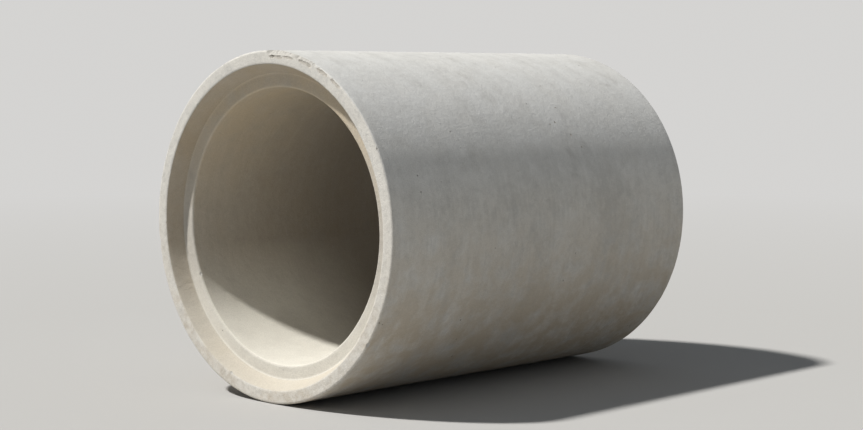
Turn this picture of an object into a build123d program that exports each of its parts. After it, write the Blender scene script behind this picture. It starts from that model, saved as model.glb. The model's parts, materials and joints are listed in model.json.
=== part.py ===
"""A concrete culvert pipe with a tongue-and-groove joint, lying on its side.

One cast piece: a round barrel with a plain bore, a groove turned into the wall at one end and the tongue that
fills the next pipe's groove at the other. The axis runs along X, the groove end faces -X, and the origin is on
the ground under the middle of the whole length. Millimetres.
"""

from build123d import *
import os

# Barrel
bore_diameter = 610.0
wall_thickness = 82.0
laying_length = 1000.0  # from the face of the groove end to the face that the next pipe's lip meets

# Groove end: a lip, a wall that narrows inwards, and a ledge round the bore
lip_thickness = 31.0
groove_depth = 38.0
groove_draft = 19.0  # how far the groove's wall closes in on its way to the ledge

# Joint: the room that the tongue leaves in a groove like this one
side_gap = 4.0
end_gap = 5.0

# Rounded edges
outer_edge_radius = 5.0
lip_inner_radius = 3.0
ledge_corner_radius = 5.0
bore_edge_radius = 5.0
tongue_tip_radius = 4.0
tongue_root_radius = 3.0

# Radii and stations that follow from those sizes
bore_radius = bore_diameter / 2
outer_radius = bore_radius + wall_thickness
groove_mouth_radius = outer_radius - lip_thickness
groove_ledge_radius = groove_mouth_radius - groove_draft
tongue_length = groove_depth - end_gap
draft_slope = groove_draft / groove_depth
tongue_root_radial = groove_mouth_radius - side_gap
tongue_tip_radial = tongue_root_radial - draft_slope * tongue_length

groove_face_x = -(laying_length + tongue_length) / 2
ledge_x = groove_face_x + groove_depth
shoulder_x = groove_face_x + laying_length
tongue_face_x = shoulder_x + tongue_length


def wall_section():
    """The wall cut along the axis, above the axis: corners in order, each with the radius of its edge."""
    corners = [
        ((groove_face_x, outer_radius), outer_edge_radius),
        ((groove_face_x, groove_mouth_radius), lip_inner_radius),
        ((ledge_x, groove_ledge_radius), ledge_corner_radius),
        ((ledge_x, bore_radius), bore_edge_radius),
        ((tongue_face_x, bore_radius), bore_edge_radius),
        ((tongue_face_x, tongue_tip_radial), tongue_tip_radius),
        ((shoulder_x, tongue_root_radial), tongue_root_radius),
        ((shoulder_x, outer_radius), outer_edge_radius),
    ]
    points = [(x, 0, radial) for (x, radial), edge in corners]
    edges = [edge for corner, edge in corners]
    with BuildLine(Plane.XY) as outline:
        FilletPolyline(*points, radius=edges, close=True)
    return make_face(outline.line)


def concrete_pipe():
    """The section turned about its axis and set down on the ground."""
    pipe = revolve(wall_section(), axis=Axis.X)
    return Pos(0, 0, outer_radius) * pipe


os.makedirs("parts", exist_ok=True)
export_step(concrete_pipe(), "parts/concrete_pipe.step")
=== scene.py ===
"""A concrete culvert pipe lying on its side, with its cast surface, its broken edges and its finish.

Metres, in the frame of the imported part: the axis runs along X, the groove end faces -X and the ground is at
z = 0. A place in the wall's section is its station along X and its distance from the axis, and an angle
round the axis runs from the top towards -Y.
"""

import json
import math
import random

import bpy
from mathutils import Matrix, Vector


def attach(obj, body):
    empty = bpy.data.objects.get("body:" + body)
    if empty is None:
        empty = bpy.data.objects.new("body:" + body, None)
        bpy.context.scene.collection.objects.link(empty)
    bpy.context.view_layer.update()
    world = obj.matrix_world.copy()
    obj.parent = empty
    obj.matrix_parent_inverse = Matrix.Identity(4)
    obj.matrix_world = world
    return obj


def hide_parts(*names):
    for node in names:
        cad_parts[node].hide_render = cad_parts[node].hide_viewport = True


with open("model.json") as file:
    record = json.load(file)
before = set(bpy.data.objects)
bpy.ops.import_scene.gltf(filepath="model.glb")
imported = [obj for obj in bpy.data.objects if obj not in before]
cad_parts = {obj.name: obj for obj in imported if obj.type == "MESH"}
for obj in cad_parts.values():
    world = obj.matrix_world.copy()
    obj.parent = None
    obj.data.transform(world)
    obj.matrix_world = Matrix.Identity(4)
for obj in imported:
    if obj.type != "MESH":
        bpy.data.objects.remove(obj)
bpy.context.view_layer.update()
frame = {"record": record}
random.seed(7)

# Sizes from the frame
mounts = {mount["name"]: mount for mount in frame["record"]["mounts"]}
AXIS_HEIGHT = mounts["bore"]["pos_m"][2]
BORE_RADIUS = mounts["bore"]["dims"]["r_mm"] / 1000
OUTER_RADIUS = AXIS_HEIGHT
GROOVE_FACE_X = mounts["groove_end_face"]["pos_m"][0]
SHOULDER_X = mounts["tongue_shoulder_face"]["pos_m"][0]
TONGUE_FACE_X = mounts["tongue_end_face"]["pos_m"][0]

# Sizes of the joint
LIP = 0.031
GROOVE_DEPTH = 0.038
GROOVE_DRAFT = 0.019
SIDE_GAP = 0.004
LEDGE_X = GROOVE_FACE_X + GROOVE_DEPTH
MOUTH_RADIUS = OUTER_RADIUS - LIP
LEDGE_RADIUS = MOUTH_RADIUS - GROOVE_DRAFT
TONGUE_ROOT_RADIUS = MOUTH_RADIUS - SIDE_GAP
TONGUE_LENGTH = TONGUE_FACE_X - SHOULDER_X
TONGUE_TIP_RADIUS = TONGUE_ROOT_RADIUS - GROOVE_DRAFT * TONGUE_LENGTH / GROOVE_DEPTH

# The corners in order round the wall's section, each as its place and the radius of its edge
SECTION = [
    ((GROOVE_FACE_X, OUTER_RADIUS), 0.005),
    ((GROOVE_FACE_X, MOUTH_RADIUS), 0.005),
    ((LEDGE_X, LEDGE_RADIUS), 0.005),
    ((LEDGE_X, BORE_RADIUS), 0.005),
    ((TONGUE_FACE_X, BORE_RADIUS), 0.005),
    ((TONGUE_FACE_X, TONGUE_TIP_RADIUS), 0.004),
    ((SHOULDER_X, TONGUE_ROOT_RADIUS), 0.003),
    ((SHOULDER_X, OUTER_RADIUS), 0.005),
]
LIP_EDGE, GROOVE_MOUTH, GROOVE_FOOT, LEDGE, TONGUE_BORE, TONGUE_TIP, TONGUE_ROOT, SHOULDER = range(8)
OUTSTANDING = (LIP_EDGE, GROOVE_MOUTH, LEDGE, TONGUE_BORE, TONGUE_TIP, SHOULDER)

# How finely the wall is divided
STEPS_ROUND = 432
BARREL_CUTS = 62
BORE_CUTS = 50
END_SPACING = 0.0045
EDGE_SEGMENTS = 3

# Faces that meet at less than this angle are shaded as one
SMOOTH_UNDER = math.radians(32)

# How far past a corner's rounding a ring holds the flat beside it
HOLD = 0.0012

# Two places closer than this are the same
NEAR = 1e-4

# Places of the finishes in the piece's list
OUTSIDE, INSIDE, ENDS, RECESS, SEAT, BROKEN, HOLES = range(7)


def polar(place):
    """A point's distance from the axis."""
    return math.hypot(place.y, place.z - AXIS_HEIGHT)


def on_wall(place, angle):
    """The point at this place in the section and this angle."""
    x, radius = place
    return Vector((x, -radius * math.sin(angle), AXIS_HEIGHT + radius * math.cos(angle)))


def pick(pieces):
    """Selects these objects and nothing else, and makes the first the active one."""
    bpy.ops.object.select_all(action="DESELECT")
    for piece in pieces:
        piece.select_set(True)
    bpy.context.view_layer.objects.active = pieces[0]


def leads(index):
    """The directions in the section from a corner to the one before it and to the next."""
    place = Vector(SECTION[index][0])
    before = Vector(SECTION[index - 1][0]) - place
    after = Vector(SECTION[(index + 1) % len(SECTION)][0]) - place
    return before.normalized(), after.normalized()


def rounding(index):
    """How far from a corner its rounding starts."""
    before, after = leads(index)
    return SECTION[index][1] / math.tan(before.angle(after) / 2)


def beside(index, way):
    """The place just past a corner's rounding, towards the next corner (1) or the one before it (-1)."""
    before, after = leads(index)
    step = after if way > 0 else before
    place = Vector(SECTION[index][0]) + step * (rounding(index) + HOLD)
    return place.x, place.y


def clear_selection():
    """Selects nothing in the mesh of the active object."""
    bpy.ops.object.mode_set(mode="EDIT")
    bpy.ops.mesh.select_mode(type="EDGE")
    bpy.ops.mesh.select_all(action="DESELECT")
    bpy.ops.object.mode_set(mode="OBJECT")


def ring(mesh, place):
    """The vertices of the ring at this place in the section."""
    x, radius = place
    return {v.index for v in mesh.vertices if abs(v.co.x - x) < NEAR and abs(polar(v.co) - radius) < NEAR}


def select_rings(piece, places):
    """Selects the edges that run round the axis at each place, and nothing else."""
    clear_selection()
    for place in places:
        chosen = ring(piece.data, place)
        for edge in piece.data.edges:
            if edge.vertices[0] in chosen and edge.vertices[1] in chosen:
                edge.select = True
    bpy.ops.object.mode_set(mode="EDIT")


def carry_ring(piece, start, end):
    """Extrudes the ring at one place of the section to another."""
    select_rings(piece, [start])
    bpy.ops.mesh.extrude_edges_move(TRANSFORM_OT_translate={"value": (end[0] - start[0], 0, 0)})
    scale = end[1] / start[1]
    bpy.ops.transform.resize(value=(1, scale, scale), center_override=(0, 0, AXIS_HEIGHT))
    bpy.ops.object.mode_set(mode="OBJECT")


def carry_along(piece, corners, way):
    """Extrudes the barrel's open edge round these corners in turn, with a ring on each side of every one."""
    route = []
    for index in corners:
        route += [beside(index, -way), SECTION[index][0], beside(index, way)]
    for start, end in zip(route, route[1:]):
        carry_ring(piece, start, end)
    return route[-1]


def round_corner(piece, index):
    """Rounds the corner that runs round the axis."""
    select_rings(piece, [SECTION[index][0]])
    bpy.ops.mesh.bevel(
        offset=rounding(index), offset_type="OFFSET", segments=EDGE_SEGMENTS, profile=0.5, affect="EDGES"
    )
    bpy.ops.object.mode_set(mode="OBJECT")


def cut_band(piece, index, cuts):
    """Divides the flat between a corner and the next by so many cuts round the axis."""
    near = ring(piece.data, beside(index, 1))
    far = ring(piece.data, beside((index + 1) % len(SECTION), -1))
    clear_selection()
    for edge in piece.data.edges:
        a, b = edge.vertices
        if (a in near and b in far) or (a in far and b in near):
            edge.select = True
    bpy.ops.object.mode_set(mode="EDIT")
    bpy.ops.mesh.subdivide(number_cuts=cuts)
    bpy.ops.object.mode_set(mode="OBJECT")


def plain_wall():
    """The wall from one cylinder, whose ends are drawn inwards, bore bridged and corners rounded."""
    start = beside(LIP_EDGE, -1)[0]
    end = beside(SHOULDER, 1)[0]
    bpy.ops.object.select_all(action="DESELECT")
    bpy.ops.mesh.primitive_cylinder_add(
        vertices=STEPS_ROUND,
        radius=OUTER_RADIUS,
        depth=end - start,
        end_fill_type="NOTHING",
        location=((start + end) / 2, 0, AXIS_HEIGHT),
        rotation=(0, math.pi / 2, 0),
    )
    wall = bpy.context.object
    wall.name = "cast_pipe"
    bpy.ops.object.transform_apply(location=True, rotation=True, scale=True)
    groove_side = carry_along(wall, (LIP_EDGE, GROOVE_MOUTH, GROOVE_FOOT, LEDGE), 1)
    tongue_side = carry_along(wall, (SHOULDER, TONGUE_ROOT, TONGUE_TIP, TONGUE_BORE), -1)
    select_rings(wall, [groove_side, tongue_side])
    bpy.ops.mesh.bridge_edge_loops()
    bpy.ops.mesh.select_all(action="SELECT")
    bpy.ops.mesh.normals_make_consistent(inside=False)
    bpy.ops.object.mode_set(mode="OBJECT")
    for index in range(len(SECTION)):
        round_corner(wall, index)
    return wall


def divide_wall(wall):
    """Cuts each face of the wall into narrow bands, which the relief then shapes."""
    cut_band(wall, SHOULDER, BARREL_CUTS)
    cut_band(wall, LEDGE, BORE_CUTS)
    for index in (LIP_EDGE, GROOVE_MOUTH, GROOVE_FOOT, TONGUE_BORE, TONGUE_TIP, TONGUE_ROOT):
        width = math.dist(beside(index, 1), beside(index + 1, -1))
        cut_band(wall, index, max(2, round(width / END_SPACING) - 1))


# The relief: how wide its clouds are, how deep it goes below the plain wall, and what else each kind needs
BROAD_HOLLOWS = {"scale": 0.2, "depth": 0.0009}
RING_MARKS = {"scale": 0.035, "depth": 0.0005, "stretch": (1, 14, 14)}
ROUGH_ENDS = {"scale": 0.012, "depth": 0.0005}
WORN_EDGES = {"scale": 0.016, "depth": 0.0007, "contrast": 1.5, "kind": "HARD_NOISE"}

# How far from the end faces their roughness fades out, and from the outstanding corners their wear
ENDS_FADE = 0.010
WEAR_FADES = 0.006

# How deep in the joint and how far off the bore a place has to be to count as rough all over
JOINT_STARTS = 0.002
OFF_BORE = 0.003


def weigh(wall, name, weight_of):
    """A vertex group whose weights come from a function of station and distance from the axis."""
    group = wall.vertex_groups.new(name=name)
    for vert in wall.data.vertices:
        weight = weight_of(vert.co.x, polar(vert.co))
        if weight > 0:
            group.add([vert.index], min(weight, 1.0), "REPLACE")
    return name


def end_weight(x, radius):
    """1 on the end faces and in the joint, fading out along the barrel and the bore."""
    face = max(1 - abs(x - station) / ENDS_FADE for station in (GROOVE_FACE_X, SHOULDER_X, LEDGE_X))
    inside_barrel = radius < MOUTH_RADIUS + JOINT_STARTS
    beyond = max(LEDGE_X - x, x - SHOULDER_X, 0.0) if inside_barrel else 0.0
    in_joint = beyond > JOINT_STARTS and radius > BORE_RADIUS + OFF_BORE
    return max(face, 1.0 if in_joint else 0.0)


def edge_weight(x, radius):
    """1 on the corners that stand out, fading within a few millimetres."""
    nearest = min(math.dist((x, radius), SECTION[index][0]) for index in OUTSTANDING)
    return 1 - nearest / WEAR_FADES


def press_in(wall, name, scale, depth, stretch=(1, 1, 1), group="", contrast=1.0, kind="SOFT_NOISE"):
    """Lowers the surface by cloudy relief of this size and depth, stretched along each axis by so much."""
    texture = bpy.data.textures.new(name, "CLOUDS")
    texture.noise_scale = scale
    texture.noise_depth = 3
    texture.noise_type = kind
    texture.contrast = contrast
    texture.use_clamp = True
    bpy.ops.object.empty_add(location=(0, 0, AXIS_HEIGHT))
    grid = bpy.context.object
    grid.scale = stretch
    bpy.context.view_layer.update()
    pick([wall])
    relief = wall.modifiers.new(name, "DISPLACE")
    relief.texture = texture
    relief.texture_coords = "OBJECT"
    relief.texture_coords_object = grid
    relief.mid_level = 1.0
    relief.strength = depth
    if group:
        relief.vertex_group = group
    bpy.ops.object.modifier_apply(modifier=relief.name)
    bpy.data.objects.remove(grid)


def cast_relief(wall):
    """What casting and handling left: broad hollows, faint rings, rough end faces and worn edges."""
    ends = weigh(wall, "ends", end_weight)
    edges = weigh(wall, "edges", edge_weight)
    press_in(wall, "broad_hollows", **BROAD_HOLLOWS)
    press_in(wall, "ring_marks", **RING_MARKS)
    press_in(wall, "rough_ends", group=ends, **ROUGH_ENDS)
    press_in(wall, "worn_edges", group=edges, **WORN_EDGES)


# The long break in the lip's outer edge, as (angle in degrees, how far it reaches down the lip's face)
LONG_BREAK = [
    (0.0, 0.0060),
    (2.0, 0.0155),
    (7.0, 0.0140),
    (12.5, 0.0100),
    (19.0, 0.0082),
    (25.0, 0.0048),
    (30.0, 0.0036),
    (34.5, 0.0046),
    (38.5, 0.0026),
]
# Hollows along its foot, as (first angle, last angle, width, how far in from the lip's outer edge)
HOLLOWS = [
    (1.4, 7.6, 0.0092, 0.0140),
    (7.9, 13.0, 0.0078, 0.0112),
    (16.0, 22.2, 0.0098, 0.0092),
    (25.0, 30.2, 0.0088, 0.0060),
    (32.0, 37.2, 0.0080, 0.0052),
]

# Lesser breaks, as (corner, angle in degrees, length along the edge, size of the lump, depth of the bite)
BREAKS = [
    (LIP_EDGE, 62.0, 0.024, 0.012, 0.0040),
    (LIP_EDGE, 97.0, 0.016, 0.010, 0.0034),
    (LIP_EDGE, 126.0, 0.034, 0.016, 0.0052),
    (LIP_EDGE, 163.0, 0.030, 0.015, 0.0050),
    (LIP_EDGE, 205.0, 0.022, 0.012, 0.0042),
    (LIP_EDGE, 262.0, 0.038, 0.017, 0.0060),
    (LIP_EDGE, 300.0, 0.024, 0.012, 0.0040),
    (LIP_EDGE, 338.0, 0.020, 0.013, 0.0044),
    (GROOVE_MOUTH, 74.0, 0.020, 0.010, 0.0034),
    (GROOVE_MOUTH, 201.0, 0.026, 0.012, 0.0040),
    (GROOVE_MOUTH, 318.0, 0.018, 0.010, 0.0032),
    (LEDGE, 112.0, 0.018, 0.010, 0.0034),
    (LEDGE, 246.0, 0.026, 0.012, 0.0044),
    (SHOULDER, 12.0, 0.030, 0.016, 0.0054),
    (SHOULDER, 58.0, 0.020, 0.012, 0.0040),
    (SHOULDER, 143.0, 0.026, 0.014, 0.0048),
    (SHOULDER, 231.0, 0.036, 0.017, 0.0060),
    (SHOULDER, 309.0, 0.022, 0.012, 0.0042),
    (TONGUE_TIP, 37.0, 0.032, 0.016, 0.0062),
    (TONGUE_TIP, 118.0, 0.022, 0.012, 0.0044),
    (TONGUE_TIP, 216.0, 0.040, 0.018, 0.0068),
    (TONGUE_TIP, 284.0, 0.020, 0.012, 0.0042),
    (TONGUE_BORE, 79.0, 0.024, 0.012, 0.0042),
    (TONGUE_BORE, 262.0, 0.028, 0.013, 0.0046),
]

# How often the faces of a large lump and of a small one are divided
FINE = 3
COARSE = 2

# A lump's roughness and the grain of that roughness, as shares of its size
LUMP_ROUGH = 0.22
LUMP_GRAIN = 0.55

# The long break's lumps: how far one reaches down the lip's face for its depth, its size for its depth, its
# half length and the step to the next for its size, and how much its depth varies. Then how fine the skin of
# the whole is, how rough it is and in what grain, and the room that it keeps clear of crumbs and air holes.
LUMP_REACH = 1.24
LUMP_SIZE = 3
LUMP_HALF_LENGTH = 0.5
LUMP_STEP = 0.28
LUMP_VARIES = (0.82, 1.12)
LONG_BREAK_SKIN = 0.0016
LONG_BREAK_ROUGH = 0.0034
LONG_BREAK_GRAIN = 0.006
LONG_BREAK_ROOM = 0.03

# The hollows' lumps: the step in degrees, the share of the width that the ends have and how it grows with
# each degree, their depth and length for their half width, and how much width and place vary. Then how fine
# the skin of a whole hollow is, how rough it is and in what grain.
HOLLOW_STEP = 0.36
HOLLOW_TAPER = 0.45
HOLLOW_GROWS = 0.5
HOLLOW_DEPTH = 0.5
HOLLOW_LENGTH = 1.1
HOLLOW_VARIES = (0.75, 1.15)
HOLLOW_DRIFT = 0.0009
HOLLOW_SKIN = 0.0009
HOLLOW_ROUGH = 0.0016
HOLLOW_GRAIN = 0.0034

# Crumbs along the outstanding edges: how many, the ranges of length, size and bite as a share of size, and
# the room round one as a share of its length
CRUMBS = 110
CRUMB_LENGTHS = (0.006, 0.015)
CRUMB_SIZES = (0.004, 0.008)
CRUMB_BITES = (0.3, 0.45)
CRUMB_ROOM = 0.8

# Air holes: how many, the smallest, how much larger the largest is, and for their size how rough they are,
# how wide and long they are, and the room round one
PITS = 46
SMALLEST_PIT = 0.0010
LARGER_PIT = 0.0017
PIT_ROUGH = 0.3
PIT_WIDTHS = (0.8, 1.3)
PIT_LENGTHS = (0.8, 1.6)
PIT_ROOM = 2

# Where air holes lie: the share of all that lie in a row or those above it, then the station and the
# distance from the axis. The one that is given as a range is drawn at random, clear of the corners.
PIT_FACES = [
    (0.18, (0.05, 0.42), OUTER_RADIUS),
    (0.64, (GROOVE_FACE_X + 0.03, SHOULDER_X - 0.03), OUTER_RADIUS),
    (0.88, (LEDGE_X + 0.03, TONGUE_FACE_X - 0.03), BORE_RADIUS),
    (0.92, GROOVE_FACE_X, (MOUTH_RADIUS + 0.007, OUTER_RADIUS - 0.008)),
    (0.95, LEDGE_X, (BORE_RADIUS + 0.009, LEDGE_RADIUS - 0.007)),
    (1.00, TONGUE_FACE_X, (BORE_RADIUS + 0.009, TONGUE_TIP_RADIUS - 0.008)),
]

# The first row is a patch high on the barrel's far half, round this angle
PATCH_ANGLE = 52
PATCH_SPREAD = 14

# About how far the relief has lowered the lip's face
SETTLED = 0.0008

# Points closer than this are too close to see
SLIVER = 1e-5


def stone(name, centre, angle, half_sizes, fineness):
    """A smooth stone shape, whose sizes run along the axis, along the edge and outwards."""
    bpy.ops.object.select_all(action="DESELECT")
    bpy.ops.mesh.primitive_ico_sphere_add(subdivisions=fineness, radius=1.0, location=centre)
    made = bpy.context.object
    made.name = name
    made.scale = half_sizes
    bpy.ops.object.transform_apply(location=False, rotation=False, scale=True)
    made.rotation_euler = (angle, 0, 0)
    bpy.ops.object.transform_apply(location=True, rotation=True, scale=False)
    return made


def roughen(piece, rough, grain):
    """Pushes the surface in and out by cloudy noise of this grain."""
    texture = bpy.data.textures.new("uneven", "CLOUDS")
    texture.noise_scale = grain
    texture.noise_depth = 2
    uneven = piece.modifiers.new("uneven", "DISPLACE")
    uneven.texture = texture
    uneven.texture_coords = "GLOBAL"
    uneven.strength = rough
    bpy.ops.object.modifier_apply(modifier=uneven.name)
    return piece


def bite(corner, degrees, length, size, depth, fineness=FINE):
    """The lump that breaks a shallow piece out of a corner."""
    before, after = leads(corner)
    outwards = -(before + after).normalized()
    centre = Vector(SECTION[corner][0]) + outwards * (size - depth)
    angle = math.radians(degrees)
    half_sizes = (size, length / 2, size)
    made = stone("break", on_wall((centre.x, centre.y), angle), angle, half_sizes, fineness)
    return roughen(made, size * LUMP_ROUGH, size * LUMP_GRAIN)


def apart(taken, place, reach):
    """Whether a place is clear of all that are taken already, in which case it is taken too."""
    if any((place - other).length < reach + room for other, room in taken):
        return False
    taken.append((place, reach))
    return True


def crumbs(taken):
    """Small bites at random all along the outstanding edges."""
    made = []
    while len(made) < CRUMBS:
        corner = random.choice(OUTSTANDING)
        degrees = random.uniform(0, 360)
        length = random.uniform(*CRUMB_LENGTHS)
        size = random.uniform(*CRUMB_SIZES)
        depth = size * random.uniform(*CRUMB_BITES)
        if apart(taken, on_wall(SECTION[corner][0], math.radians(degrees)), length * CRUMB_ROOM):
            made.append(bite(corner, degrees, length, size, depth, fineness=COARSE))
    return made


def drawn(value):
    """A number as it is, or one at random between two."""
    return random.uniform(*value) if isinstance(value, tuple) else value


def pit_spot():
    """Where the next air hole lies, as its place in the section and its angle in degrees."""
    where = random.random()
    degrees = random.uniform(0, 360)
    row = next(index for index, face in enumerate(PIT_FACES) if where < face[0])
    station, radius = PIT_FACES[row][1:]
    place = (drawn(station), drawn(radius))
    if row == 0:
        degrees = random.gauss(PATCH_ANGLE, PATCH_SPREAD)
    return place, degrees


def pits(taken):
    """Air holes at random over the barrel, the bore and the flat ends."""
    made = []
    while len(made) < PITS:
        place, degrees = pit_spot()
        size = SMALLEST_PIT + LARGER_PIT * random.random() ** 2
        angle = math.radians(degrees)
        centre = on_wall(place, angle)
        if apart(taken, centre, size * PIT_ROOM):
            half_sizes = (size * random.uniform(*PIT_WIDTHS), size * random.uniform(*PIT_LENGTHS), size)
            made.append(roughen(stone("pit", centre, angle, half_sizes, COARSE), size * PIT_ROUGH, size))
    return made


def one_skin(piece, fineness):
    """Replaces whatever overlaps in the piece by a single closed skin."""
    skin = piece.modifiers.new("skin", "REMESH")
    skin.mode = "VOXEL"
    skin.voxel_size = fineness
    bpy.ops.object.modifier_apply(modifier=skin.name)


def chain(name, spots, fineness, rough, grain):
    """Overlapping lumps made one and roughened, each given as (centre, angle, half sizes)."""
    links = [stone(name, centre, angle, sizes, COARSE) for centre, angle, sizes in spots]
    pick(links)
    bpy.ops.object.join()
    whole = bpy.context.object
    one_skin(whole, fineness)
    roughen(whole, rough, grain)
    one_skin(whole, fineness)
    return whole


def reach_at(degrees):
    """How far down the lip's face the long break reaches at this angle."""
    for (first, reach), (last, next_reach) in zip(LONG_BREAK, LONG_BREAK[1:]):
        if first <= degrees <= last:
            return reach + (next_reach - reach) * (degrees - first) / (last - first)
    return 0.0


def long_break():
    """One ragged piece broken out of the lip's outer edge, from the top down to the camera's side."""
    spots = []
    degrees = LONG_BREAK[0][0]
    while degrees < LONG_BREAK[-1][0]:
        depth = (reach_at(degrees) + SETTLED) / LUMP_REACH * random.uniform(*LUMP_VARIES)
        size = LUMP_SIZE * depth
        out = (size - depth) / math.sqrt(2)
        place = (GROOVE_FACE_X - out, OUTER_RADIUS + out)
        angle = math.radians(degrees)
        spots.append((on_wall(place, angle), angle, (size, size * LUMP_HALF_LENGTH, size)))
        degrees += math.degrees(size * LUMP_STEP / OUTER_RADIUS)
    return chain("long_break", spots, LONG_BREAK_SKIN, LONG_BREAK_ROUGH, LONG_BREAK_GRAIN)


def hollows():
    """Hollows along the foot of the long break, where stones came out of it."""
    made = []
    for first, last, width, inset in HOLLOWS:
        spots = []
        degrees = first
        while degrees < last:
            from_first = HOLLOW_TAPER + (degrees - first) * HOLLOW_GROWS
            from_last = HOLLOW_TAPER + (last - degrees) * HOLLOW_GROWS
            half = width / 2 * min(1.0, from_first, from_last) * random.uniform(*HOLLOW_VARIES)
            angle = math.radians(degrees)
            drift = random.uniform(-HOLLOW_DRIFT, HOLLOW_DRIFT)
            centre = on_wall((GROOVE_FACE_X + SETTLED, OUTER_RADIUS - inset + drift), angle)
            spots.append((centre, angle, (half * HOLLOW_DEPTH, half * HOLLOW_LENGTH, half)))
            degrees += HOLLOW_STEP
        made.append(chain("hollow", spots, HOLLOW_SKIN, HOLLOW_ROUGH, HOLLOW_GRAIN))
    return made


def break_out(wall, lumps, finish):
    """Cuts a set of lumps out of the wall, and gives the faces they leave this finish."""
    pick(lumps)
    bpy.ops.object.join()
    cutter = bpy.context.object
    for material in wall.data.materials:
        cutter.data.materials.append(material)
    for face in cutter.data.polygons:
        face.material_index = finish
    pick([wall])
    cut = wall.modifiers.new("breaks", "BOOLEAN")
    cut.operation = "DIFFERENCE"
    cut.solver = "EXACT"
    cut.object = cutter
    bpy.ops.object.modifier_apply(modifier=cut.name)
    bpy.data.objects.remove(cutter)


def merge_slivers(wall):
    """Merges the points and faces along the cuts that are too small to see."""
    pick([wall])
    bpy.ops.object.mode_set(mode="EDIT")
    bpy.ops.mesh.select_mode(type="VERT")
    bpy.ops.mesh.select_all(action="SELECT")
    bpy.ops.mesh.remove_doubles(threshold=SLIVER)
    bpy.ops.mesh.dissolve_degenerate(threshold=SLIVER)
    bpy.ops.object.mode_set(mode="OBJECT")


def break_edges(wall):
    """Breaks and crumbs, then the hollows in the long break and air holes, which are given a darker colour as
    painted shade.
    """
    taken = []
    for corner, degrees, length, size, depth in BREAKS:
        taken.append((on_wall(SECTION[corner][0], math.radians(degrees)), length))
    for degrees, reach in LONG_BREAK:
        taken.append((on_wall(SECTION[LIP_EDGE][0], math.radians(degrees)), LONG_BREAK_ROOM))
    made = [bite(*values) for values in BREAKS]
    break_out(wall, [long_break()] + made + crumbs(taken), BROKEN)
    # The hollows and air holes take the darker colour that paints shade into them
    break_out(wall, hollows(), HOLES)
    break_out(wall, pits(taken), HOLES)
    merge_slivers(wall)


def feed(tree, socket, value):
    """Joins a socket to another one, or sets its number, its vector or its colour."""
    if isinstance(value, bpy.types.NodeSocket):
        tree.links.new(value, socket)
    elif socket.type == "RGBA":
        socket.default_value = (*value, 1.0)
    else:
        socket.default_value = value


def node(tree, kind, **values):
    """A node with its sockets fed and its properties set, by their names."""
    made = tree.nodes.new(kind)
    for name, value in values.items():
        if name in made.inputs.keys():
            feed(tree, made.inputs[name], value)
        else:
            setattr(made, name, value)
    return made


def bare_tree(owner, output):
    """The emptied node tree of a material or world, and its new output node."""
    owner.use_nodes = True
    tree = owner.node_tree
    tree.nodes.clear()
    return tree, tree.nodes.new(output)


def noise(tree, place, scale, detail, rough, stretch=None, shift=(0, 0, 0)):
    """Cloudy noise from 0 to 1, of so many features to the metre."""
    if stretch:
        moved = node(tree, "ShaderNodeMapping", Vector=place, Scale=stretch, Location=shift)
        place = moved.outputs["Vector"]
    made = node(tree, "ShaderNodeTexNoise", Vector=place, Scale=scale, Detail=detail, Roughness=rough)
    return made.outputs["Fac"]


def maths(tree, operation, first, second=0.0):
    """One sum on two numbers."""
    made = node(tree, "ShaderNodeMath", operation=operation)
    feed(tree, made.inputs[0], first)
    feed(tree, made.inputs[1], second)
    return made.outputs[0]


def product(tree, first, *others):
    """Numbers multiplied, from the first on."""
    for other in others:
        first = maths(tree, "MULTIPLY", first, other)
    return first


def total(tree, *shares):
    """The sum of numbers, each given with its weight."""
    result = 0.0
    for value, weight in shares:
        result = maths(tree, "ADD", maths(tree, "MULTIPLY", value, weight), result)
    return result


def spread(tree, value, low, high, to_low=0.0, to_high=1.0):
    """Turns a number between low and high into one between the other two, and stops there."""
    made = node(tree, "ShaderNodeMapRange", Value=value, clamp=True)
    made.inputs["From Min"].default_value = low
    made.inputs["From Max"].default_value = high
    made.inputs["To Min"].default_value = to_low
    made.inputs["To Max"].default_value = to_high
    return made.outputs["Result"]


# Places of a Mix node's colours among its sockets, whose names repeat
FIRST_COLOUR, SECOND_COLOUR, MIXED_COLOUR = 6, 7, 2


def tint(tree, share, first, second, blend="MIX"):
    """Mixes two colours by a share."""
    made = node(tree, "ShaderNodeMix", data_type="RGBA", blend_type=blend)
    feed(tree, made.inputs["Factor"], share)
    feed(tree, made.inputs[FIRST_COLOUR], first)
    feed(tree, made.inputs[SECOND_COLOUR], second)
    return made.outputs[MIXED_COLOUR]


# Concrete tones
PALE = (0.655, 0.645, 0.612)
GREY = (0.490, 0.480, 0.452)
# Painted highlight: the lighter tone of the barrel's upper band, where the key light falls
PAINTED_SUNLIT_TONE = (0.715, 0.715, 0.705)
BLOOM = (0.690, 0.663, 0.610)
# Pale dust, partly painted light where the light falls on the lower inside
DUST_AND_PAINTED_LIGHT = (0.765, 0.735, 0.655)
# Soil, partly real splashes and partly painted warm bounce light and shade low down
SOIL_AND_PAINTED_SHADE = (0.450, 0.375, 0.275)
DAMP = (0.330, 0.315, 0.285)
# Brown, partly a real cast of the concrete and partly painted shade in the bore, the groove and the holes
BROWN_AND_PAINTED_SHADE = (0.395, 0.328, 0.240)
# Painted shade: the dark tone deep in the bore, where little light reaches
PAINTED_DEEP_SHADE = (0.190, 0.158, 0.120)
# Painted shade: the warm tone of the mouth's upper part, which lies in shade
PAINTED_WARM_SHADE = (0.570, 0.465, 0.315)
# Painted shade inside the small pores
PORE_SHADE = (0.190, 0.172, 0.145)

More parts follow.
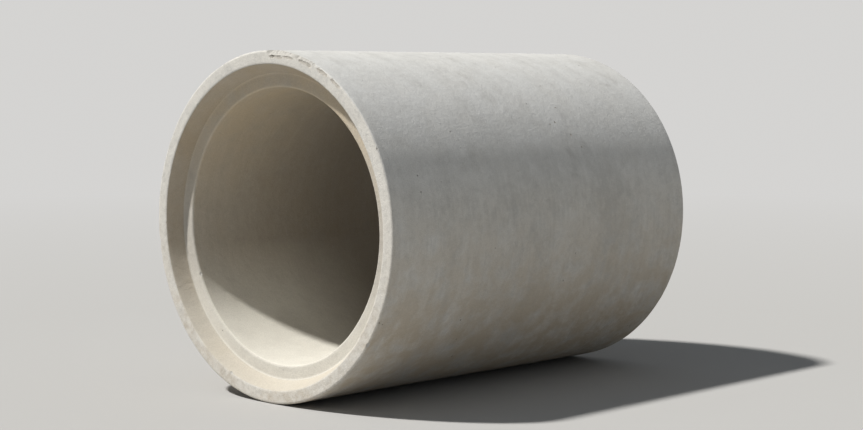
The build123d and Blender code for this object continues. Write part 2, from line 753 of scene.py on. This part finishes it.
# The clouds in the concrete: features to the metre, detail and roughness, and for some how much closer
# together they lie along each axis and where in the noise they start
CLOUDS = {
    "broad": (4.5, 5.0, 0.60),
    "patches": (19.0, 5.0, 0.62),
    "mottle": (75.0, 4.0, 0.65),
    "sand": (420.0, 3.0, 0.70),
    "wide_rings": (1.0, 5.0, 0.65, (24.0, 1.3, 1.3)),
    "fine_rings": (1.0, 4.0, 0.70, (105.0, 7.0, 7.0)),
    "blots": (34.0, 3.0, 0.50, (1, 1, 1), (4.9, 8.2, 2.6)),
    "flour": (11.0, 6.0, 0.65, (1, 1, 1), (3.1, 0.7, 5.3)),
    "smudges": (8.0, 7.0, 0.72, (1.6, 1, 1), (7.7, 2.9, 1.3)),
    "crowds": (6.5, 3.0, 0.55),
}

# How a cast of colour is spread: where it is 0 and where it is 1, or else has the two strengths that follow.
# By height:
# The painted sunlit band rises up the barrel's side and wanes again towards the very top
SUNLIT_PAINT_RISES = (0.44, 0.58)
SUNLIT_PAINT_WANES = (0.69, 0.765, 1.0, 0.66)
# The warm painted shade covers the upper part of the mouth
WARM_SHADE_RISES = (0.40, 0.64)
DUST_AND_LIGHT_SINKS = (0.33, 0.18)
SPLASH_AND_SHADE_SINKS = (0.50, 0.16)
# By station:
WARM_SHADE_GOES_IN = (-0.42, -0.12, 1.0, 0.0)
LIP_BLOOMS = (GROOVE_FACE_X, GROOVE_FACE_X + 0.022, 1.0, 0.0)
SHOULDER_BLOOMS = (SHOULDER_X - 0.018, SHOULDER_X, 0.0, 1.0)
# By distance from the station where the painted shade in the bore is darkest:
DARKEST_X = 0.1
DEEP_SHADE_FADES = (0.58, 0.12)
DUST_AND_LIGHT_STARTS = (0.05, 0.32, 0.10, 1.0)
# By the clouds, from 0 to 1:
SUNLIT_PAINT_PATCHY = (0.3, 0.6, 0.7, 1.0)
WARM_SHADE_PATCHY = (0.3, 0.6, 0.55, 1.0)
DUST_AND_LIGHT_PATCHY = (0.3, 0.55, 0.85, 1.0)
SPLASH_AND_SHADE_PATCHY = (0.28, 0.58)
BLOOM_CLOUDY = (0.44, 0.66)
BROWN_CLOUDY = (0.35, 0.6)
DAMP_CLOUDY = (0.56, 0.74, 0.0, 0.36)
EDGE_BLOOM_PATCHY = (0.35, 0.6)
SAND_TONES = (0.28, 0.72, 0.86, 1.09)
GLOSS_PATCHY = (0.3, 0.7, 0.80, 0.97)

# The weights of the clouds in the mottled tone, the weight of fine rings beside wide ones, and half the
# range of the tone between grey and pale
TONE_WEIGHTS = {"broad": 0.26, "patches": 0.28, "blots": 0.20, "mottle": 0.26}
FINE_RINGS = 0.5
TONE_RANGE = 0.084

# The weights of the clouds in the brown cast, which is partly painted shade
BROWN_WEIGHTS = {"broad": 0.6, "patches": 0.4}

# The least bloom and brown beside the most, and the bloom on the outer edges beside that of the rest
LEAST_BLOOM = 0.35
LEAST_BROWN = 0.7
EDGE_BLOOM = 0.7

# Pores: cells to the metre, the clouds where they crowd, how many there are outside and inside those, and
# the size, soft edge, darkness and depth of one, whose darkness is painted shade
PORE_CELLS = 90.0
PORES_CROWD = (0.42, 0.68)
FEW_PORES = 0.4
MANY_PORES = 2.2
PORE_SIZE = 1.3
PORE_EDGE = 0.06
PORE_DARK = 0.7
PORE_DEPTH = -1.4

# The weights of the clouds in the fine relief, its depth and the concrete's faint shine
SAND_RELIEF = 0.55
MOTTLE_RELIEF = 0.9
PATCHES_RELIEF = 0.8
FINE_RELIEF = 0.0012
SHINE = 0.3


def mottled(tree, clouds, rings):
    """Grey passing into pale in clouds and faint rings."""
    shares = [(clouds[name], weight) for name, weight in TONE_WEIGHTS.items()]
    shares += [(clouds["wide_rings"], rings), (clouds["fine_rings"], rings * FINE_RINGS)]
    middle = 0.5 * (1 + (1 + FINE_RINGS) * rings)
    tone = spread(tree, total(tree, *shares), middle - TONE_RANGE, middle + TONE_RANGE)
    return tint(tree, tone, GREY, PALE)


def pore_marks(tree, place, clouds, pores):
    """1 in the small pores and 0 between them."""
    cells = node(tree, "ShaderNodeTexVoronoi", Vector=place, Scale=PORE_CELLS)
    chance = node(tree, "ShaderNodeSeparateColor", Color=cells.outputs["Color"]).outputs["Red"]
    least = spread(tree, clouds["crowds"], *PORES_CROWD, 1.0 - pores * FEW_PORES, 1.0 - pores * MANY_PORES)
    size = product(tree, maths(tree, "SUBTRACT", chance, least), PORE_SIZE)
    return spread(tree, maths(tree, "SUBTRACT", size, cells.outputs["Distance"]), 0.0, PORE_EDGE)


def concrete(
    name,
    sunlit_paint=0.0,
    bloom=0.0,
    brown=0.0,
    deep=0.0,
    warm_shade=0.0,
    dust_and_light=0.0,
    splash_and_shade=0.0,
    pores=0.1,
    rings=0.0,
    grain=1.0,
):
    """Cast concrete: mottled warm grey with faint rings, sand grain and pores with painted shade in them.

    Over it lie, in this order, a lighter band high up that is painted sunlight, a pale bloom, damp smudges, a
    brown cast that is partly painted shade, painted shade far from the ends, a warm painted shade high up
    near the groove end, pale dusting low down that is partly painted light, splashes from the ground that are
    partly painted warm bounce light and shade, and a bloom along the outer edges.
    """
    material = bpy.data.materials.new(name)
    tree, out = bare_tree(material, "ShaderNodeOutputMaterial")
    place = node(tree, "ShaderNodeTexCoord").outputs["Object"]
    axes = node(tree, "ShaderNodeSeparateXYZ", Vector=place).outputs
    station, height = axes["X"], axes["Z"]
    inner = maths(tree, "ABSOLUTE", maths(tree, "SUBTRACT", station, DARKEST_X))
    clouds = {cloud: noise(tree, place, *values) for cloud, values in CLOUDS.items()}
    patches = clouds["patches"]

    # Painted sunlight: the barrel's upper band made lighter where the key light falls on it
    painted_sunlight = product(
        tree,
        spread(tree, height, *SUNLIT_PAINT_RISES),
        spread(tree, height, *SUNLIT_PAINT_WANES),
        spread(tree, patches, *SUNLIT_PAINT_PATCHY),
        sunlit_paint,
    )
    browning = total(tree, *((clouds[cloud], weight) for cloud, weight in BROWN_WEIGHTS.items()))
    # Painted warm shade high up near the groove end, where the mouth's upper part lies in shade
    warm_shaded = product(
        tree,
        spread(tree, height, *WARM_SHADE_RISES),
        spread(tree, station, *WARM_SHADE_GOES_IN),
        spread(tree, patches, *WARM_SHADE_PATCHY),
        warm_shade,
    )
    # Pale dust low down, partly painted light on the lit floor near the ends, and less of it deep inside
    dusted_and_lit = product(
        tree,
        spread(tree, height, *DUST_AND_LIGHT_SINKS),
        spread(tree, patches, *DUST_AND_LIGHT_PATCHY),
        spread(tree, inner, *DUST_AND_LIGHT_STARTS),
        dust_and_light,
    )
    # Splashes from the ground, partly painted warm bounce light and shade on the lower parts
    splashed_and_shaded = product(
        tree,
        spread(tree, height, *SPLASH_AND_SHADE_SINKS),
        spread(tree, patches, *SPLASH_AND_SHADE_PATCHY),
        splash_and_shade,
    )
    by_lip = spread(tree, station, *LIP_BLOOMS)
    by_shoulder = spread(tree, station, *SHOULDER_BLOOMS)
    worn = product(
        tree,
        maths(tree, "MAXIMUM", by_lip, by_shoulder),
        spread(tree, clouds["mottle"], *EDGE_BLOOM_PATCHY),
        EDGE_BLOOM * bloom,
    )
    casts = [
        (painted_sunlight, PAINTED_SUNLIT_TONE),
        (spread(tree, clouds["flour"], *BLOOM_CLOUDY, bloom * LEAST_BLOOM, bloom), BLOOM),
        (spread(tree, clouds["smudges"], *DAMP_CLOUDY), DAMP),
        # A brown cast, partly painted shade where the finish lies in shade
        (spread(tree, browning, *BROWN_CLOUDY, brown * LEAST_BROWN, brown), BROWN_AND_PAINTED_SHADE),
        # Painted shade deep in the bore, strongest far from both ends
        (product(tree, spread(tree, inner, *DEEP_SHADE_FADES), deep), PAINTED_DEEP_SHADE),
        (warm_shaded, PAINTED_WARM_SHADE),
        (dusted_and_lit, DUST_AND_PAINTED_LIGHT),
        (splashed_and_shaded, SOIL_AND_PAINTED_SHADE),
        (worn, BLOOM),
    ]
    colour = mottled(tree, clouds, rings)
    for share, cast in casts:
        colour = tint(tree, share, colour, cast)

    speck = spread(tree, clouds["sand"], *SAND_TONES)
    grains = node(tree, "ShaderNodeCombineColor", Red=speck, Green=speck, Blue=speck).outputs["Color"]
    colour = tint(tree, 1.0, colour, grains, "MULTIPLY")
    pit = pore_marks(tree, place, clouds, pores)
    # Painted shade in the pores
    colour = tint(tree, product(tree, pit, PORE_DARK), colour, PORE_SHADE)

    relief = total(
        tree,
        (clouds["sand"], SAND_RELIEF * grain),
        (clouds["mottle"], MOTTLE_RELIEF * grain),
        (patches, PATCHES_RELIEF),
        (clouds["fine_rings"], rings),
        (pit, PORE_DEPTH),
    )
    bump = node(tree, "ShaderNodeBump", Height=relief, Distance=FINE_RELIEF, Strength=1.0)
    shader = node(tree, "ShaderNodeBsdfPrincipled", Normal=bump.outputs["Normal"])
    feed(tree, shader.inputs["Base Color"], colour)
    feed(tree, shader.inputs["Roughness"], spread(tree, patches, *GLOSS_PATCHY))
    feed(tree, shader.inputs["Specular IOR Level"], SHINE)
    feed(tree, out.inputs["Surface"], shader.outputs["BSDF"])
    return material


# The finishes in the order of their places in the piece's list, with the strengths of their casts and marks
FINISHES = {
    # The outside's upper band is painted sunlight, and its splashes are partly painted warm bounce light and
    # shade
    "concrete_outside": dict(sunlit_paint=0.80, bloom=0.25, splash_and_shade=0.80, pores=0.10, rings=0.32),
    # In the bore the deep and warm tones are painted shade, the brown partly so, and the dust partly painted
    # light
    "concrete_bore_with_painted_shade": dict(
        bloom=0.10, brown=0.70, deep=0.62, warm_shade=0.65, dust_and_light=1.0, pores=0.06, rings=0.28, grain=0.8
    ),
    # The ends' splashes are partly painted warm bounce light and shade
    "concrete_ends": dict(bloom=1.0, splash_and_shade=0.55, pores=0.07, rings=0.06, grain=1.3),
    # Painted shade: the groove's wall is darker and browner than the ends
    "concrete_recess_painted_shade": dict(bloom=0.10, brown=0.94, warm_shade=0.2, dust_and_light=0.45, pores=0.07, rings=0.20, grain=1.2),
    # Painted light and shade: the ledge is warm and dark high up, where it lies in shade, and pale low down
    "concrete_ledge_painted_light_and_shade": dict(bloom=0.50, brown=0.44, warm_shade=0.7, dust_and_light=0.6, pores=0.07, rings=0.10, grain=1.2),
    "concrete_broken": dict(bloom=0.2, brown=0.2, pores=0.2, grain=3.0),
    # Painted shade: the darker colour of the hollows and air holes
    "concrete_holes_painted_shade": dict(brown=0.42, pores=0.3, grain=2.0),
}

# How far in from the faces beside them the finishes of the barrel and the bore start
CLEAR_OF_ENDS = 0.003

# The stations between which the groove's wall and the ledge have finishes of their own, whose tones carry
# painted shade on the wall and painted light and shade on the ledge, and how far past the mouth's radius the
# wall's finish still holds
RECESS_X = (GROOVE_FACE_X + 0.002, LEDGE_X - 0.001)
SEAT_X = (LEDGE_X - 0.002, LEDGE_X + 0.010)
RECESS_SPARE = 0.001


def dress(wall):
    """Gives each face its finish by its place: outside, bore, groove's wall, ledge or ends."""
    for face in wall.data.polygons:
        if face.material_index in (BROKEN, HOLES):
            continue
        x = face.center.x
        radius = polar(face.center)
        on_barrel = GROOVE_FACE_X + CLEAR_OF_ENDS < x < SHOULDER_X - CLEAR_OF_ENDS
        in_bore = LEDGE_X + CLEAR_OF_ENDS < x < TONGUE_FACE_X - CLEAR_OF_ENDS
        if on_barrel and radius > OUTER_RADIUS - CLEAR_OF_ENDS:
            face.material_index = OUTSIDE
        elif in_bore and radius < BORE_RADIUS + CLEAR_OF_ENDS:
            face.material_index = INSIDE
        elif RECESS_X[0] < x < RECESS_X[1] and radius < MOUTH_RADIUS + RECESS_SPARE:
            face.material_index = RECESS
        elif SEAT_X[0] < x < SEAT_X[1] and radius < MOUTH_RADIUS:
            face.material_index = SEAT
        else:
            face.material_index = ENDS


def cast_pipe():
    """The pipe: its wall, its relief, its breaks and holes, and its finishes."""
    wall = plain_wall()
    divide_wall(wall)
    for name, strengths in FINISHES.items():
        wall.data.materials.append(concrete(name, **strengths))
    cast_relief(wall)
    break_edges(wall)
    dress(wall)
    pick([wall])
    bpy.ops.object.shade_smooth_by_angle(angle=SMOOTH_UNDER)
    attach(wall, "root")
    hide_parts("concrete_pipe")


# The background and the floor, and the distances between which the floor passes into the background
BACKGROUND = (0.662, 0.655, 0.643)
FLOOR_TONE = (0.47, 0.463, 0.451)
FLOOR_RADIUS = 40.0
FLOOR_SIDES = 96
FLOOR_FADES = (1.6, 7.0)

# The soft light from all round
SOFT_TONE = (0.88, 0.94, 1.0)
SOFT_STRENGTH = 0.22

# The key light: its strength, its tone, how wide it is in the sky, and where it comes from
KEY_STRENGTH = 4.2
KEY_TONE = (1.0, 0.985, 0.955)
KEY_WIDTH = math.radians(4)
KEY_FROM = (-1.0, 0.80, 1.82)
KEY_DISTANCE = 4

# The photograph's eye, in outer diameters back from the groove end's face, to the side and up from the axis,
# and the width of the camera's sensor and the length of its lens in millimetres
EYE_BACK = 3.367
EYE_SIDE = 3.876
EYE_UP = 0.424
SENSOR_WIDTH = 36.0
LENS = 76.0


def seen_straight(tree):
    """1 where the camera sees a surface straight, in a gloss or through glass, and 0 for its other light."""
    path = node(tree, "ShaderNodeLightPath").outputs
    direct = maths(tree, "MAXIMUM", path["Is Camera Ray"], path["Is Glossy Ray"])
    return maths(tree, "MAXIMUM", direct, path["Is Transmission Ray"])


def show_mixed(tree, out, share, first, second):
    """Shows one shader passing into another by a share."""
    mix = node(tree, "ShaderNodeMixShader", Fac=share)
    feed(tree, mix.inputs[1], first.outputs[0])
    feed(tree, mix.inputs[2], second.outputs[0])
    feed(tree, out.inputs["Surface"], mix.outputs[0])


def pale_floor():
    """A wide pale floor that passes into the background before it ends."""
    bpy.ops.object.select_all(action="DESELECT")
    bpy.ops.mesh.primitive_circle_add(
        vertices=FLOOR_SIDES, radius=FLOOR_RADIUS, fill_type="NGON", location=(0, 0, 0)
    )
    floor = bpy.context.object
    floor.name = "floor"
    material = bpy.data.materials.new("floor")
    tree, out = bare_tree(material, "ShaderNodeOutputMaterial")
    matt = node(tree, "ShaderNodeBsdfDiffuse", Color=FLOOR_TONE)
    plain = node(tree, "ShaderNodeEmission", Color=BACKGROUND)
    place = node(tree, "ShaderNodeTexCoord").outputs["Object"]
    away = node(tree, "ShaderNodeVectorMath", operation="LENGTH")
    feed(tree, away.inputs[0], place)
    far = spread(tree, away.outputs["Value"], *FLOOR_FADES)
    show_mixed(tree, out, product(tree, far, seen_straight(tree)), matt, plain)
    floor.data.materials.append(material)


def studio_world():
    """Soft light from all round, and a pale background where it is seen straight."""
    world = bpy.data.worlds.new("studio")
    bpy.context.scene.world = world
    tree, out = bare_tree(world, "ShaderNodeOutputWorld")
    soft = node(tree, "ShaderNodeBackground", Color=SOFT_TONE, Strength=SOFT_STRENGTH)
    shown = node(tree, "ShaderNodeBackground", Color=BACKGROUND, Strength=1.0)
    show_mixed(tree, out, seen_straight(tree), soft, shown)


def key_light():
    """Light from high up beyond the groove end, on the side away from the camera, with soft edges."""
    light = bpy.data.lights.new("key", "SUN")
    light.energy = KEY_STRENGTH
    light.angle = KEY_WIDTH
    light.color = KEY_TONE
    lamp = bpy.data.objects.new("key", light)
    bpy.context.scene.collection.objects.link(lamp)
    towards = Vector(KEY_FROM).normalized()
    lamp.location = Vector((0, 0, AXIS_HEIGHT)) + towards * KEY_DISTANCE
    lamp.rotation_euler = towards.to_track_quat("Z", "Y").to_euler()


def camera_at_photo_angle():
    """The photograph's eye, turned to the middle of the pipe and with a longer lens."""
    across = 2 * OUTER_RADIUS
    data = bpy.data.cameras.new("camera")
    data.sensor_width = SENSOR_WIDTH
    data.lens = LENS
    camera = bpy.data.objects.new("camera", data)
    bpy.context.scene.collection.objects.link(camera)
    camera.location = (GROOVE_FACE_X - EYE_BACK * across, -EYE_SIDE * across, AXIS_HEIGHT + EYE_UP * across)
    aim = Vector((0, 0, AXIS_HEIGHT))
    camera.rotation_euler = (aim - camera.location).to_track_quat("-Z", "Y").to_euler()
    bpy.context.scene.camera = camera


cast_pipe()
pale_floor()
studio_world()
key_light()
camera_at_photo_angle()
bpy.context.scene.view_settings.view_transform = "Standard"
